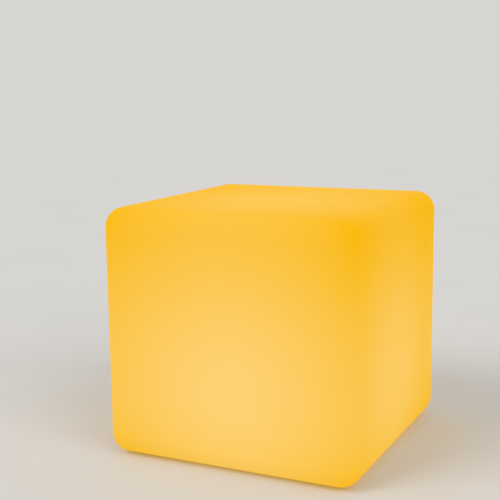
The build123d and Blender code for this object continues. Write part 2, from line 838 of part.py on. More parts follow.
def main():
    os.makedirs("parts", exist_ok=True)
    save("diffuser_shell", make_shell())
    save("rubber_feet", *make_feet())
    save("screw_inserts", *make_inserts())
    save("flange_gasket", make_flange_gasket())
    save("flange_screws", *make_flange_screws())
    save("base_housing", make_base_housing())

    save("power_button", make_button())
    save("button_seal", make_button_seal())
    save("switch_body", make_switch_body())
    save("switch_plunger", make_plunger())

    save("charge_jack", make_jack())
    save("jack_pin", make_jack_pin())
    save("jack_seal", make_jack_seal())
    save("jack_nut", make_jack_nut())
    save("jack_terminals", *make_terminals())
    save("port_cover", make_port_cover())
    save("cover_hinge_pin", make_hinge_pin())
    save("charge_light_pipe", make_light_pipe())
    save("charge_led", make_charge_led())

    save("control_board", make_control_board())
    save("board_screws", *make_board_screws())
    save("driver_chip", chip(driver_chip_length, driver_chip_width, driver_chip_x))
    save("charger_chip", chip(charger_chip_length, charger_chip_width, charger_chip_x))
    save("power_inductor", make_inductor())
    save("board_capacitors", *make_capacitors())
    save("board_resistors", *make_resistors())
    save("lead_sockets", *make_sockets())

    save("battery_cells", *make_cells())
    save("cell_tabs", *make_cell_tabs())
    save("battery_cradle", make_cradle())
    save("cradle_screws", *make_cradle_screws())
    save("cell_pads", *make_pads())
    save("battery_lead_red", battery_lead(1))
    save("battery_lead_black", battery_lead(-1))
    save("jack_leads", *make_jack_leads())
    save("led_leads", *make_led_leads())

    save("led_tray", make_tray())
    save("led_board", make_led_board())
    save("led_board_screws", *make_led_screws())
    save("leds", *make_leds())
    save("dome_gasket", make_dome_gasket())
    save("led_dome", make_dome())
    save("dome_screws", *make_dome_screws())


main()
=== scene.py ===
import bmesh
import bpy
import json
import math
from mathutils import Matrix, Vector


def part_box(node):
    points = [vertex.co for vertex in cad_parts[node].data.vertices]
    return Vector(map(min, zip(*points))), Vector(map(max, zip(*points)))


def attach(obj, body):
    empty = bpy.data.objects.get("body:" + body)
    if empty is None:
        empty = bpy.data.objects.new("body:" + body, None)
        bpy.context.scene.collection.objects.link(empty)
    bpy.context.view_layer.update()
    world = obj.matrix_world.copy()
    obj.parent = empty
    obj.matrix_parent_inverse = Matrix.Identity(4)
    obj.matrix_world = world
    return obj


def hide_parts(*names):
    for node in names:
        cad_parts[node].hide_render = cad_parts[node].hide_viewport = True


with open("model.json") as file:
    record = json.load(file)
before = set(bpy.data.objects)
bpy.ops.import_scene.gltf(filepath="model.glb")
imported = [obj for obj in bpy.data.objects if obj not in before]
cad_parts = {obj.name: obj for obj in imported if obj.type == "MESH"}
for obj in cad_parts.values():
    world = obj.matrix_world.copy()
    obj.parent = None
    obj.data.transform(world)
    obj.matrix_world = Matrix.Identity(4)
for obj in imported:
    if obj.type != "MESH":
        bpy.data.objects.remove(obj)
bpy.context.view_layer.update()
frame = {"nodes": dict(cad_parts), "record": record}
print("frame: %d nodes" % len(frame["nodes"]))


# helpers for node trees
def feed(tree, socket, value):
    if isinstance(value, bpy.types.NodeSocket):
        tree.links.new(value, socket)
    else:
        socket.default_value = value


def put(tree, kind, inputs=None, **settings):
    node = tree.nodes.new("ShaderNode" + kind)
    for key, value in settings.items():
        setattr(node, key, value)
    for key, value in (inputs or {}).items():
        feed(tree, node.inputs[key], value)
    return node


def calc(tree, operation, *values, clamp=False):
    node = put(tree, "Math", operation=operation, use_clamp=clamp)
    for socket, value in zip(node.inputs, values):
        feed(tree, socket, value)
    return node.outputs[0]


def vectorCalc(tree, operation, *values):
    node = put(tree, "VectorMath", operation=operation)
    for socket, value in zip(node.inputs, values):
        feed(tree, socket, value)
    return node.outputs["Value" if operation in ("LENGTH", "DOT_PRODUCT", "DISTANCE") else "Vector"]


def span(tree, value, low, high, toLow=0.0, toHigh=1.0):  # one range onto another, held at its ends
    node = put(tree, "MapRange", clamp=True)
    for socket, number in zip(node.inputs, (value, low, high, toLow, toHigh)):
        feed(tree, socket, number)
    return node.outputs["Result"]


def between(tree, mask, ends):
    return span(tree, mask, 0.0, 1.0, *ends)


def tint(tree, factor, first, second, blend="MIX"):
    node = put(tree, "Mix", data_type="RGBA", blend_type=blend)
    feed(tree, node.inputs["Factor"], factor)
    for socket, value in zip(node.inputs[6:8], (first, second)):  # the node's two colours
        feed(tree, socket, value if isinstance(value, bpy.types.NodeSocket) else (*value, 1.0))
    return node.outputs[2]


def noise(tree, place, scale, detail=2.0, rough=0.5):
    inputs = {"Vector": place, "Scale": scale, "Detail": detail, "Roughness": rough}
    return put(tree, "TexNoise", inputs).outputs["Fac"]


def colorSteps(tree, factor, stops):
    node = put(tree, "ValToRGB", {"Fac": factor})
    elements = node.color_ramp.elements
    while len(elements) < len(stops):
        elements.new(0.5)
    for element, (place, color) in zip(elements, stops):
        element.position = place
        element.color = (*color, 1.0)
    return node.outputs["Color"]


def placeOf(tree):  # where a point lies on its own piece, in metres
    return put(tree, "TexCoord").outputs["Object"]


def facingOf(tree):  # which way the piece's surface faces there
    return put(tree, "TexCoord").outputs["Normal"]


def axes(tree, vector):
    return put(tree, "SeparateXYZ", {"Vector": vector}).outputs


def mirrored(tree, vector):  # the same on both sides of the middle
    return vectorCalc(tree, "ABSOLUTE", vector)


def upright(tree, facing):  # mask of what faces up, not sideways or down
    return calc(tree, "GREATER_THAN", axes(tree, facing)["Z"], 0.5)


def offStep(tree, value, pitch):  # distance from the nearest of even steps, as a share of their pitch
    return calc(tree, "PINGPONG", calc(tree, "DIVIDE", value, pitch), 0.5)


def fromAxis(tree, vector, foot=(0.0, 0.0, 0.0)):  # distance from an upright line, given where it starts
    flat = vectorCalc(tree, "MULTIPLY", vector, (1.0, 1.0, 0.0))
    return vectorCalc(tree, "DISTANCE", flat, foot)


def nearAxis(tree, vector, center, radius):  # mask of a round spot seen along Z
    return calc(tree, "LESS_THAN", fromAxis(tree, vector, (*center, 0.0)), radius)


def atLevel(tree, vector, level, reach):  # mask of a thin layer
    return calc(tree, "COMPARE", axes(tree, vector)["Z"], level, reach)


def product(tree, *factors):
    total = factors[0]
    for factor in factors[1:]:
        total = calc(tree, "MULTIPLY", total, factor)
    return total


def opposite(tree, mask):
    return calc(tree, "SUBTRACT", 1.0, mask)


def newGroup(name, inputs, outputs):
    group = bpy.data.node_groups.new(name, "ShaderNodeTree")
    for label, kind, start in inputs:
        socket = group.interface.new_socket(name=label, in_out="INPUT", socket_type="NodeSocket" + kind)
        socket.default_value = start
    for label in outputs:
        group.interface.new_socket(name=label, in_out="OUTPUT", socket_type="NodeSocketFloat")
    return group, group.nodes.new("NodeGroupInput").outputs, group.nodes.new("NodeGroupOutput").inputs


def useGroup(tree, group, **values):
    node = put(tree, "Group", node_tree=group)
    for key, value in values.items():
        feed(tree, node.inputs[key], value)
    return node.outputs


def newFinish(name, plain=None):  # plain numbers go straight onto the shader's own sockets
    finish = bpy.data.materials.new(name)
    finish.use_nodes = True
    tree = finish.node_tree
    tree.nodes.clear()
    shader = put(tree, "BsdfPrincipled", plain)
    put(tree, "OutputMaterial", {"Surface": shader.outputs["BSDF"]})
    return finish, tree, shader.inputs


def finishName(words):  # screw_steel becomes screwSteel
    first, *rest = words.split("_")
    return first + "".join(word.capitalize() for word in rest)


def addBump(tree, shader, height, strength, depth):
    bump = put(tree, "Bump", {"Height": height, "Strength": strength, "Distance": depth})
    feed(tree, shader["Normal"], bump.outputs["Normal"])


# effects that several finishes share
noiseSpans = {  # the part of a noise's range that is stretched to 0 and 1
    "cloud": (0.32, 0.68),
    "streak": (0.3, 0.7),
    "scuff": (0.5, 0.7),
    "patch": (0.35, 0.65),
}


def makeMouldGrain():  # fine texture of a moulding, and the slow drift of its colour
    group, given, out = newGroup(
        "mouldGrain",
        [("Grain", "Float", 1500.0), ("Drift", "Float", 30.0)],
        ["Height", "Cloud"],
    )
    place = placeOf(group)
    fine = noise(group, place, given["Grain"], detail=3.0)
    pitScale = calc(group, "MULTIPLY", given["Grain"], 0.7)  # pits lie a little wider than the grain
    pits = put(group, "TexVoronoi", {"Vector": place, "Scale": pitScale}).outputs["Distance"]
    pitShare = 0.6
    feed(group, out["Height"], calc(group, "MULTIPLY_ADD", pits, pitShare, fine))
    clouds = noise(group, place, given["Drift"], detail=4.0, rough=0.6)
    feed(group, out["Cloud"], span(group, clouds, *noiseSpans["cloud"]))
    return group


def makeInnerGlow():  # how strongly light from inside comes through a wall
    group, given, out = newGroup(
        "innerGlow",
        [
            ("Source", "Vector", (0.0, 0.0, 0.0)),
            ("Reach", "Float", 0.1),
            ("Level", "Float", 0.5),
            ("Falloff", "Float", 1.0),
            ("Middle", "Vector", (0.0, 0.0, 0.0)),
            ("Half", "Vector", (1.0, 1.0, 1.0)),
            ("Lean", "Vector", (0.0, 0.0, 0.0)),
            ("Even", "Vector", (0.0, 0.0, 0.0)),
            ("Corner", "Float", 0.0),
            ("Patch", "Float", 20.0),
            ("Patchy", "Float", 0.0),
        ],
        ["Glow"],
    )
    place = placeOf(group)
    distance = vectorCalc(group, "DISTANCE", place, given["Source"])
    far = calc(group, "LOGARITHM", calc(group, "DIVIDE", distance, given["Reach"]), math.e)
    lit = calc(group, "SUBTRACT", given["Level"], calc(group, "MULTIPLY", far, given["Falloff"]))
    # outward turns from wall to wall more slowly than the moulding's own edge: light spreads in the wall
    fromMiddle = vectorCalc(group, "SUBTRACT", place, given["Middle"])
    share = vectorCalc(group, "DIVIDE", fromMiddle, given["Half"])
    square = vectorCalc(group, "MULTIPLY", share, share)
    fifth = vectorCalc(group, "MULTIPLY", vectorCalc(group, "MULTIPLY", square, square), share)
    outward = vectorCalc(group, "NORMALIZE", fifth)
    unsigned = mirrored(group, outward)
    leaning = vectorCalc(group, "DOT_PRODUCT", outward, given["Lean"])
    evened = vectorCalc(group, "DOT_PRODUCT", unsigned, given["Even"])
    sides = axes(group, unsigned)
    tip = product(group, sides["X"], sides["Y"], sides["Z"], 3.0**1.5)  # 1 at a corner, 0 on an edge
    shade = product(group, tip, tip, given["Corner"])
    uneven = calc(group, "SUBTRACT", noise(group, place, given["Patch"]), 0.5)
    uneven = calc(group, "MULTIPLY", uneven, given["Patchy"])
    turned = calc(group, "SUBTRACT", calc(group, "ADD", leaning, evened), shade)
    feed(group, out["Glow"], calc(group, "ADD", calc(group, "ADD", lit, turned), uneven, clamp=True))
    return group


def makeToolMarks():  # drawn or turned streaks on metal, and scuffs
    group, given, out = newGroup(
        "toolMarks",
        [("Along", "Vector", (1.0, 1.0, 12.0)), ("Lines", "Float", 900.0)],
        ["Streak", "Scuff"],
    )
    place = placeOf(group)
    drawn = vectorCalc(group, "MULTIPLY", place, given["Along"])
    streaks = noise(group, drawn, given["Lines"], detail=3.0)
    feed(group, out["Streak"], span(group, streaks, *noiseSpans["streak"]))
    blotScale = calc(group, "MULTIPLY", given["Lines"], 0.3)  # scuffs are larger than streaks
    blots = noise(group, place, blotScale, detail=5.0, rough=0.7)
    feed(group, out["Scuff"], span(group, blots, *noiseSpans["scuff"]))
    return group


def makeEdgeWear():  # where handling rubs an edge
    group, given, out = newGroup(
        "edgeWear",
        [("Width", "Float", 0.0003), ("Patch", "Float", 900.0)],
        ["Wear"],
    )
    rounded = put(group, "Bevel", {"Radius": given["Width"]}, samples=4).outputs["Normal"]
    plain = put(group, "NewGeometry").outputs["Normal"]
    turned = opposite(group, vectorCalc(group, "DOT_PRODUCT", rounded, plain))
    worn = span(group, turned, 0.03, 0.3)  # from a faint fold to a sharp edge
    patches = noise(group, placeOf(group), given["Patch"], detail=4.0, rough=0.6)
    feed(group, out["Wear"], calc(group, "MULTIPLY", worn, span(group, patches, *noiseSpans["patch"])))
    return group


def makeThreadRidges():  # rings of a screw thread between two heights, none inside a bore
    group, given, out = newGroup(
        "threadRidges",
        [
            ("Pitch", "Float", 0.0005),
            ("From", "Float", 0.0),
            ("To", "Float", 0.01),
            ("Axis", "Vector", (0.0, 0.0, 0.0)),
            ("Bore", "Float", 0.0),
        ],
        ["Ridge"],
    )
    place = placeOf(group)
    height = axes(group, place)["Z"]
    turns = calc(group, "DIVIDE", height, given["Pitch"])
    wave = calc(group, "SINE", calc(group, "MULTIPLY", turns, 2 * math.pi))
    above = calc(group, "GREATER_THAN", height, given["From"])
    below = calc(group, "LESS_THAN", height, given["To"])
    outside = calc(group, "GREATER_THAN", fromAxis(group, place, given["Axis"]), given["Bore"])
    feed(group, out["Ridge"], product(group, above, below, outside, wave))
    return group


mouldGrain = makeMouldGrain()
innerGlow = makeInnerGlow()
toolMarks = makeToolMarks()
edgeWear = makeEdgeWear()
threadRidges = makeThreadRidges()
print("surface effects: %d groups" % len(bpy.data.node_groups))
finishes = {}  # by material slot, or by node where one node differs from the rest of its slot

# the moulded body, lit from inside
bodyLook = {
    "glow": {
        "Source": (0.0055, -0.0121, 0.0593),  # over the ring of LEDs, inside the dome
        "Reach": 0.1,
        "Level": 0.58,
        "Falloff": 1.535,
        "Lean": (-0.085, 0.187, 0.28),
        "Even": (0.14, 0.4, 0.0),  # with Lean, the far walls get as much light as the near ones
        "Corner": 0.05,
        "Patch": 24.0,
        "Patchy": 0.05,
    },
    "steps": [
        (0.0, (0.950, 0.494, 0.002)),
        (0.22, (0.967, 0.534, 0.037)),
        (0.51, (0.972, 0.580, 0.088)),
        (1.0, (0.985, 0.645, 0.171)),
    ],
    "skin": (0.1, 0.1, 0.1),  # share of the glow's colour that is painted into the plastic's base colour too: painted light from inside, lighter where the glow is stronger
    "shader": {"Emission Strength": 0.89, "Specular IOR Level": 0.02},
    "grain": {"Grain": 900.0, "Drift": 18.0},
    "rough": (0.6, 0.72),
    "bump": (0.12, 0.0002),
}


def makeGlowingBody(name, look):
    finish, tree, shader = newFinish(name, look["shader"])
    low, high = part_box("diffuser_shell")
    glow = useGroup(tree, innerGlow, Middle=(low + high) / 2, Half=(high - low) / 2, **look["glow"])["Glow"]
    color = colorSteps(tree, glow, look["steps"])
    feed(tree, shader["Emission Color"], color)
    # the base colour is the glow's colour scaled down: painted light from inside, not the plastic's own
    # tint
    feed(tree, shader["Base Color"], tint(tree, 1.0, color, look["skin"], "MULTIPLY"))
    grain = useGroup(tree, mouldGrain, **look["grain"])
    feed(tree, shader["Roughness"], between(tree, grain["Cloud"], look["rough"]))
    addBump(tree, shader, grain["Height"], *look["bump"])
    return finish


finishes["glowing_plastic"] = makeGlowingBody("bodyPlastic", bodyLook)

# plain mouldings, pressed ferrite, foam and wire insulation
leadLook = {"grain": {"Grain": 3000.0, "Drift": 200.0}, "rough": (0.34, 0.46), "bump": (0.1, 0.0001)}
mouldedLooks = {
    "white_plastic": {
        "color": (0.78, 0.77, 0.74),
        "drift": (0.72, 0.71, 0.68),
        "grain": {"Grain": 2600.0, "Drift": 60.0},
        "rough": (0.42, 0.55),
        "bump": (0.25, 0.0001),
    },
    "grey_rubber": {
        "color": (0.052, 0.052, 0.056),
        "drift": (0.036, 0.036, 0.038),
        "grain": {"Grain": 3200.0, "Drift": 140.0},
        "rough": (0.7, 0.86),
        "bump": (0.35, 0.0001),
        "rub": {"color": (0.13, 0.13, 0.13), "wear": {"Width": 0.0006, "Patch": 700.0}},
    },
    "seal_rubber": {
        "color": (0.010, 0.010, 0.011),
        "drift": (0.016, 0.016, 0.017),
        "grain": {"Grain": 3000.0, "Drift": 90.0},
        "rough": (0.55, 0.7),
        "bump": (0.2, 0.0001),
    },
    "black_plastic": {
        "color": (0.012, 0.012, 0.013),
        "drift": (0.020, 0.020, 0.021),
        "grain": {"Grain": 4200.0, "Drift": 110.0},
        "rough": (0.38, 0.52),
        "bump": (0.2, 0.0001),
        "rub": {"color": (0.05, 0.05, 0.05), "wear": {"Width": 0.0003, "Patch": 1500.0}},
    },
    "ferrite": {
        "color": (0.028, 0.028, 0.031),
        "drift": (0.045, 0.044, 0.046),
        "grain": {"Grain": 5200.0, "Drift": 400.0},
        "rough": (0.5, 0.66),
        "bump": (0.5, 0.0001),
        "rub": {"color": (0.12, 0.12, 0.125), "wear": {"Width": 0.0002, "Patch": 2500.0}},
    },
    "foam": {
        "color": (0.030, 0.030, 0.033),
        "drift": (0.014, 0.014, 0.016),
        "grain": {"Grain": 1400.0, "Drift": 900.0},
        "rough": (0.9, 1.0),
        "bump": (0.9, 0.0001),
    },
    "clear_plastic": {  # rod of the charge light
        "color": (0.90, 0.93, 0.92),
        "drift": (0.84, 0.88, 0.88),
        "grain": {"Grain": 1500.0, "Drift": 250.0},
        "rough": (0.12, 0.22),
        "bump": (0.06, 0.0001),
        "shader": {"Transmission Weight": 0.6, "IOR": 1.49},
    },
    "lead_red": {"color": (0.40, 0.012, 0.010), "drift": (0.32, 0.010, 0.009), **leadLook},
    "lead_black": {"color": (0.010, 0.010, 0.010), "drift": (0.017, 0.017, 0.017), **leadLook},
    "lead_white": {"color": (0.70, 0.69, 0.66), "drift": (0.62, 0.61, 0.57), **leadLook},
}


def mouldSurface(tree, shader, look):
    grain = useGroup(tree, mouldGrain, **look["grain"])
    addBump(tree, shader, grain["Height"], *look["bump"])
    color = tint(tree, grain["Cloud"], look["color"], look["drift"])
    if "rub" in look:
        wear = useGroup(tree, edgeWear, **look["rub"]["wear"])["Wear"]
        color = tint(tree, wear, color, look["rub"]["color"])
    return color, between(tree, grain["Cloud"], look["rough"])


def makeMoulded(name, look):
    finish, tree, shader = newFinish(name, look.get("shader"))
    color, rough = mouldSurface(tree, shader, look)
    feed(tree, shader["Base Color"], color)
    feed(tree, shader["Roughness"], rough)
    return finish


for slotName, look in mouldedLooks.items():
    finishes[slotName] = makeMoulded(finishName(slotName), look)

# push button: satin grey, a sunk symbol filled with white paint, a dish polished by fingers
buttonLook = {
    "color": (0.095, 0.10, 0.11),
    "drift": (0.078, 0.082, 0.09),
    "grain": {"Grain": 3600.0, "Drift": 160.0},
    "rough": (0.4, 0.5),
    "bump": (0.15, 0.0001),
    "rub": {"color": (0.2, 0.2, 0.21), "wear": {"Width": 0.0004, "Patch": 900.0}},
    "paint": (0.74, 0.74, 0.71),
    "symbolFloor": 0.0008,  # above the button's lowest edge
    "paintReach": 0.00024,
    "symbolReach": 0.0045,
    "polished": 0.22,
    "dish": 0.0056,
}


def makeButton(name, look):
    finish, tree, shader = newFinish(name)
    color, rough = mouldSurface(tree, shader, look)
    place = placeOf(tree)
    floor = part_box("power_button")[0].z + look["symbolFloor"]
    middle = nearAxis(tree, place, (0.0, 0.0), look["symbolReach"])
    symbol = product(tree, middle, atLevel(tree, place, floor, look["paintReach"]))
    feed(tree, shader["Base Color"], tint(tree, symbol, color, look["paint"]))
    touch = span(tree, fromAxis(tree, place), 0.0, look["dish"], look["polished"], 0.0)
    feed(tree, shader["Roughness"], calc(tree, "SUBTRACT", rough, touch))
    return finish


finishes["button_plastic"] = makeButton("buttonPlastic", buttonLook)

# metals
metalLooks = {
    "screw_steel": {
        "color": (0.56, 0.57, 0.58),
        "stain": (0.40, 0.40, 0.40),
        "bright": (0.76, 0.76, 0.77),
        "marks": {"Along": (1.0, 1.0, 10.0), "Lines": 1500.0},
        "wear": {"Width": 0.00025, "Patch": 1600.0},
        "rough": (0.24, 0.44),
        "bump": (0.2, 0.00002),
    },
    "nickel": {
        "color": (0.66, 0.64, 0.59),
        "stain": (0.52, 0.49, 0.43),
        "bright": (0.80, 0.79, 0.75),
        "marks": {"Along": (1.0, 1.0, 14.0), "Lines": 1200.0},
        "wear": {"Width": 0.0003, "Patch": 1300.0},
        "rough": (0.16, 0.32),
        "bump": (0.2, 0.00002),
    },
    "insert_brass": {
        "color": (0.60, 0.41, 0.14),
        "stain": (0.42, 0.26, 0.08),
        "bright": (0.78, 0.60, 0.28),
        "marks": {"Along": (1.0, 1.0, 16.0), "Lines": 1100.0},
        "wear": {"Width": 0.0003, "Patch": 1300.0},
        "rough": (0.26, 0.42),
        "bump": (0.2, 0.00002),
    },
}
threadLook = {"pitch": 0.0005, "bump": (0.8, 0.00012), "roughness": 0.05}
headHeights = {  # of the screws, below the shank where negative
    "flange_screws": -0.0022,
    "board_screws": 0.0016,
    "cradle_screws": 0.0016,
    "led_board_screws": 0.0016,
    "dome_screws": 0.0020,
}
jackLook = {"pitch": 0.00075, "flange": 0.0018, "bore": 0.0032}  # threaded outside, smooth inside


def makeMetal(name, look, thread=None):
    finish, tree, shader = newFinish(name, {"Metallic": 1.0})
    marks = useGroup(tree, toolMarks, **look["marks"])
    wear = useGroup(tree, edgeWear, **look["wear"])["Wear"]
    color = tint(tree, marks["Scuff"], look["color"], look["stain"])
    feed(tree, shader["Base Color"], tint(tree, wear, color, look["bright"]))
    feed(tree, shader["Roughness"], between(tree, marks["Streak"], look["rough"]))
    if thread:
        ridge = useGroup(tree, threadRidges, **thread)["Ridge"]
        height = calc(tree, "MULTIPLY_ADD", marks["Streak"], threadLook["roughness"], ridge)
        addBump(tree, shader, height, *threadLook["bump"])
    else:
        addBump(tree, shader, marks["Streak"], *look["bump"])
    return finish


def shankThread(nodeName, head):  # the screws' shanks, clear of their heads
    low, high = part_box(nodeName)
    return {"Pitch": threadLook["pitch"], "From": low.z - min(head, 0.0), "To": high.z - max(head, 0.0)}


def barrelThread(nodeName, look):  # the jack's barrel, above its flange
    low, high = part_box(nodeName)
    middle = (low + high) / 2
    return {
        "Pitch": look["pitch"],
        "From": low.z + look["flange"],
        "To": high.z,
        "Axis": (middle.x, middle.y, 0.0),
        "Bore": look["bore"],
    }


for slotName, look in metalLooks.items():
    finishes[slotName] = makeMetal(finishName(slotName), look)
for nodeName, head in headHeights.items():
    thread = shankThread(nodeName, head)
    finishes[nodeName] = makeMetal(finishName(nodeName), metalLooks["screw_steel"], thread)
barrel = barrelThread("charge_jack", jackLook)
finishes["charge_jack"] = makeMetal("chargeJack", metalLooks["nickel"], barrel)

# cells: shrunk blue sleeve, folded over the rims of bare steel ends
cellLook = {
    "color": (0.016, 0.085, 0.22),
    "drift": (0.022, 0.11, 0.27),
    "steel": (0.58, 0.58, 0.57),
    "fold": 0.0021,
    "grain": {"Grain": 1800.0, "Drift": 90.0},
    "rough": (0.26, 0.38),
    "shader": {"Coat Weight": 0.3, "Coat Roughness": 0.2},
    "along": (6.0, 1.0, 1.0),  # wrinkles run round the cell
    "wrinkles": 260.0,
    "bump": (0.4, 0.00012),
}
# nickel strips across the cells' ends, with four spot welds to a cell
tabLook = {
    "weldOffset": 0.0016,
    "weld": (0.00036, 0.0006),
    "burnt": (0.30, 0.27, 0.24),
    "bump": (0.8, 0.0001),
}
cellLow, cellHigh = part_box("battery_cells")
cellRadius = (cellHigh.z - cellLow.z) / 2


def acrossCell(tree):  # place across the nearest cell, from its own axis
    level = (0.0, 0.0, cellLow.z + cellRadius)
    row = (0.0, cellHigh.y - cellRadius, 0.0)
    around = mirrored(tree, vectorCalc(tree, "SUBTRACT", placeOf(tree), level))
    return vectorCalc(tree, "MULTIPLY", vectorCalc(tree, "SUBTRACT", around, row), (0.0, 1.0, 1.0))


def makeCells(name, look):
    finish, tree, shader = newFinish(name, look["shader"])
    across = vectorCalc(tree, "LENGTH", acrossCell(tree))
    bare = calc(tree, "LESS_THAN", across, cellRadius - look["fold"])
    grain = useGroup(tree, mouldGrain, **look["grain"])
    drawn = vectorCalc(tree, "MULTIPLY", placeOf(tree), look["along"])
    shrunk = noise(tree, drawn, look["wrinkles"], detail=3.0)
    color = tint(tree, grain["Cloud"], look["color"], look["drift"])
    feed(tree, shader["Base Color"], tint(tree, bare, color, look["steel"]))
    feed(tree, shader["Metallic"], bare)
    feed(tree, shader["Roughness"], between(tree, grain["Cloud"], look["rough"]))
    addBump(tree, shader, calc(tree, "SUBTRACT", shrunk, bare), *look["bump"])
    return finish


def makeTabs(name, look, metal):
    finish, tree, shader = newFinish(name, {"Metallic": 1.0})
    offset = (0.0, look["weldOffset"], look["weldOffset"])
    spot = vectorCalc(tree, "SUBTRACT", mirrored(tree, acrossCell(tree)), offset)
    weld = span(tree, vectorCalc(tree, "LENGTH", spot), *look["weld"], 1.0, 0.0)
    marks = useGroup(tree, toolMarks, **metal["marks"])
    color = tint(tree, marks["Scuff"], metal["color"], metal["stain"])
    feed(tree, shader["Base Color"], tint(tree, weld, color, look["burnt"]))
    feed(tree, shader["Roughness"], between(tree, marks["Streak"], metal["rough"]))
    addBump(tree, shader, opposite(tree, weld), *look["bump"])
    return finish


finishes["cell_wrap"] = makeCells("cellSleeve", cellLook)
finishes["cell_tabs"] = makeTabs("cellTabs", tabLook, metalLooks["nickel"])

# capacitor cans, with the dark edge that marks their negative side
canLook = {
    "color": (0.62, 0.63, 0.64),
    "stain": (0.48, 0.49, 0.50),
    "print": (0.015, 0.015, 0.018),
    "marks": {"Along": (1.0, 1.0, 8.0), "Lines": 1300.0},
    "rough": (0.28, 0.42),
    "bump": (0.15, 0.00002),
    "printWidth": 0.00175,  # from the can's outer side
    "printReach": 0.00012,
}


def makeCans(name, look):
    finish, tree, shader = newFinish(name)
    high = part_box("board_capacitors")[1]
    place = placeOf(tree)
    across = axes(tree, mirrored(tree, place))["X"]
    dark = calc(tree, "GREATER_THAN", across, high.x - look["printWidth"])
    dark = product(tree, dark, atLevel(tree, place, high.z, look["printReach"]))
    marks = useGroup(tree, toolMarks, **look["marks"])
    color = tint(tree, marks["Scuff"], look["color"], look["stain"])
    feed(tree, shader["Base Color"], tint(tree, dark, color, look["print"]))
    feed(tree, shader["Metallic"], opposite(tree, dark))
    feed(tree, shader["Roughness"], between(tree, marks["Streak"], look["rough"]))
    addBump(tree, shader, marks["Streak"], *look["bump"])
    return finish


finishes["can_aluminium"] = makeCans("canAluminium", canLook)

# chips and resistors: black bodies with tinned legs or ends
tinLook = {"color": (0.60, 0.60, 0.58), "rough": 0.3}
chipLook = {
    "legReach": 0.001,
    "dot": 0.00035,
    "dotInset": 0.0009,
    "dotReach": 0.0001,
    "print": (0.30, 0.30, 0.29),
}
resistorLook = {"pitch": 0.005, "length": 0.002, "cap": 0.00038}


def tinnedSurface(tree, shader, color, rough, tin):
    feed(tree, shader["Base Color"], tint(tree, tin, color, tinLook["color"]))
    feed(tree, shader["Metallic"], tin)
    feed(tree, shader["Roughness"], span(tree, tin, 0.0, 1.0, rough, tinLook["rough"]))


def makeChip(nodeName, look):
    finish, tree, shader = newFinish(finishName(nodeName))
    color, rough = mouldSurface(tree, shader, mouldedLooks["black_plastic"])
    low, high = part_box(nodeName)
    side = high.y - look["legReach"]  # of the chip's body, without its legs
    place = placeOf(tree)
    dot = nearAxis(tree, place, (low.x + look["dotInset"], look["dotInset"] - side), look["dot"])
    dot = product(tree, dot, atLevel(tree, place, high.z, look["dotReach"]))
    legs = calc(tree, "GREATER_THAN", axes(tree, mirrored(tree, place))["Y"], side)
    tinnedSurface(tree, shader, tint(tree, dot, color, look["print"]), rough, legs)
    return finish


def makeResistors(nodeName, look):
    finish, tree, shader = newFinish(finishName(nodeName))
    color, rough = mouldSurface(tree, shader, mouldedLooks["black_plastic"])
    low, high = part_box(nodeName)
    half = look["length"] / 2
    place = axes(tree, placeOf(tree))
    inBackRow = calc(tree, "GREATER_THAN", place["Y"], 0.0)
    first = between(tree, inBackRow, (low.x + half, high.x - half))
    off = offStep(tree, calc(tree, "SUBTRACT", place["X"], first), look["pitch"])  # from the nearest middle
    ends = calc(tree, "GREATER_THAN", off, (half - look["cap"]) / look["pitch"])
    tinnedSurface(tree, shader, color, rough, ends)
    return finish


for chipName in ("driver_chip", "charger_chip"):
    finishes[chipName] = makeChip(chipName, chipLook)
finishes["board_resistors"] = makeResistors("board_resistors", resistorLook)

# control board: green varnish over copper runs, tinned rings at the screws, bare fibre at the cut edges
boardLook = {
    "color": (0.010, 0.085, 0.034),
    "run": (0.020, 0.135, 0.058),
    "fibre": (0.40, 0.35, 0.19),
    "field": 130.0,  # in some fields the runs go along X, in others along Y, and some are filled
    "pitch": 0.0009,
    "gap": 0.3,
    "filled": 0.75,
    "holeInset": 0.004,
    "ring": 0.0026,
    "grain": {"Grain": 2400.0, "Drift": 220.0},
    "rough": (0.28, 0.40),
    "bump": (0.6, 0.00004),
}


def boardRuns(tree, place, look):
    flat = vectorCalc(tree, "MULTIPLY", place, (1.0, 1.0, 0.0))
    fields = put(tree, "TexVoronoi", {"Vector": flat, "Scale": look["field"]}, distance="CHEBYCHEV")
    pick = axes(tree, fields.outputs["Color"])
    turned = calc(tree, "GREATER_THAN", pick["X"], 0.5)
    runs = []
    for axis, mask in (("X", opposite(tree, turned)), ("Y", turned)):
        off = offStep(tree, axes(tree, place)[axis], look["pitch"])
        runs.append(product(tree, calc(tree, "GREATER_THAN", off, look["gap"]), mask))
    filled = calc(tree, "GREATER_THAN", pick["Y"], look["filled"])
    return calc(tree, "MAXIMUM", calc(tree, "ADD", *runs), filled)


def makeBoard(name, look):
    finish, tree, shader = newFinish(name)
    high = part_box("control_board")[1]
    hole = (high.x - look["holeInset"], high.y - look["holeInset"])
    place = placeOf(tree)
    run = boardRuns(tree, place, look)
    flat = upright(tree, mirrored(tree, facingOf(tree)))
    color = tint(tree, flat, look["fibre"], tint(tree, run, look["color"], look["run"]))
    grain = useGroup(tree, mouldGrain, **look["grain"])
    ring = product(tree, flat, nearAxis(tree, mirrored(tree, place), hole, look["ring"]))
    tinnedSurface(tree, shader, color, between(tree, grain["Cloud"], look["rough"]), ring)
    addBump(tree, shader, run, *look["bump"])
    return finish


finishes["board_green"] = makeBoard("controlBoard", boardLook)

# LED board: white varnish on aluminium, with ring-shaped runs under the LEDs
ledBoardLook = {
    "color": (0.76, 0.76, 0.73),
    "run": (0.66, 0.66, 0.62),
    "metal": (0.70, 0.71, 0.72),
    "pitch": 0.0032,
    "gap": 0.22,
    "grain": {"Grain": 2200.0, "Drift": 120.0},
    "rough": (0.35, 0.48),
    "bump": (0.5, 0.00004),
}


